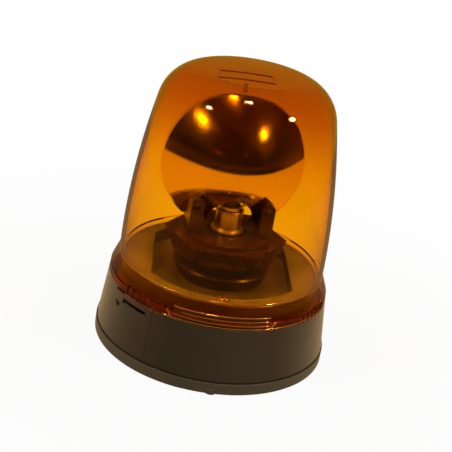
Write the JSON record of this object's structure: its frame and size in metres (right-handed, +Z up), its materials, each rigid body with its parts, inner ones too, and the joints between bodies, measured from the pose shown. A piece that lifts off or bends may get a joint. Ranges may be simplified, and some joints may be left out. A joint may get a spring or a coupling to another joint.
{
  "type": "rotating beacon",
  "caption": "Rotating warning beacon: amber twist-lock dome on a round base, over a chromed reflector that a geared motor turns about a bayonet bulb.",
  "frame": {"origin": "centre of the underside of the rubber foot, on the lamp's axis", "axes": "+Z up the lamp's axis; -Y is the front, where the lens skirt has its plain raised panel; +X to the right seen from the front"},
  "size_m": [0.16, 0.162, 0.195],
  "materials": {
    "housing_plastic": "satin moulded",
    "deck_plastic": "semi-gloss moulded",
    "amber_lens": "clear tinted, polished",
    "black_rubber": "matte",
    "black_plastic": "semi-gloss moulded",
    "gear_plastic": "matte moulded",
    "reflector_chrome": "mirror bright",
    "steel": "bright zinc",
    "brass": "plain turned",
    "holder_nickel": "bright plated",
    "bulb_clear": "clear",
    "tungsten": "drawn wire",
    "lead_insulation": "smooth extruded"
  },
  "bodies": {
    "base": {"foot_gasket": "black_rubber", "base_housing": "housing_plastic", "threaded_inserts": "brass", "cable_grommet": "black_rubber", "inner_deck": "deck_plastic", "deck_screws": "steel", "lens_seal": "black_rubber", "gear_pedestal": "black_plastic", "pedestal_screws": "steel", "spindle": "steel", "thrust_washer": "gear_plastic", "retaining_clip": "steel", "holder_insulator": "black_plastic", "lamp_holder": "holder_nickel", "contact_spring": "steel", "motor_body": "steel", "motor_end_cap": "black_plastic", "motor_terminals": "brass", "motor_screws": "steel", "terminal_block": "gear_plastic", "terminal_screws": "brass", "lamp_lead": "lead_insulation", "motor_leads": "lead_insulation"},
    "lens": {"lens_dome": "amber_lens"},
    "rotor": {"turntable": "black_plastic", "drive_gear": "gear_plastic", "bearing_bush": "brass", "reflector": "reflector_chrome", "reflector_bracket": "black_plastic", "bracket_screws": "steel", "reflector_rivets": "steel"},
    "motor_rotor": {"motor_shaft": "steel", "motor_pinion": "brass"},
    "bulb": {"bulb_cap": "holder_nickel", "bulb_glass": "bulb_clear", "bulb_filament": "tungsten"},
    "plunger": {"contact_plunger": "brass"}
  },
  "joints": [
    {"name": "lens_twist", "type": "hinge", "parent": "base", "child": "lens", "pos_m": [0, 0, 0.045], "axis": [0, 0, 1], "range_deg": [-24.5, 0]},
    {"name": "turntable_spin", "type": "hinge", "parent": "base", "child": "rotor", "pos_m": [0, 0, 0.07], "axis": [0, 0, 1], "continuous": true},
    {"name": "motor_spin", "type": "hinge", "parent": "base", "child": "motor_rotor", "pos_m": [0.01755, 0.0304, 0.06], "axis": [0, 0, 1], "continuous": true},
    {"name": "bulb_press", "type": "slide", "parent": "base", "child": "bulb", "axis": [0, 0, -1], "range_m": [0, 0.002], "stiffness_N_per_m": 900, "springref_m": -0.004},
    {"name": "plunger_slide", "type": "slide", "parent": "base", "child": "plunger", "axis": [0, 0, -1], "range_m": [0, 0.002], "deforming": ["contact_spring"]}
  ],
  "couplings": [
    {"joint": "motor_spin", "follows": "turntable_spin", "ratio": -6},
    {"joint": "plunger_slide", "follows": "bulb_press", "ratio": 1}
  ]
}
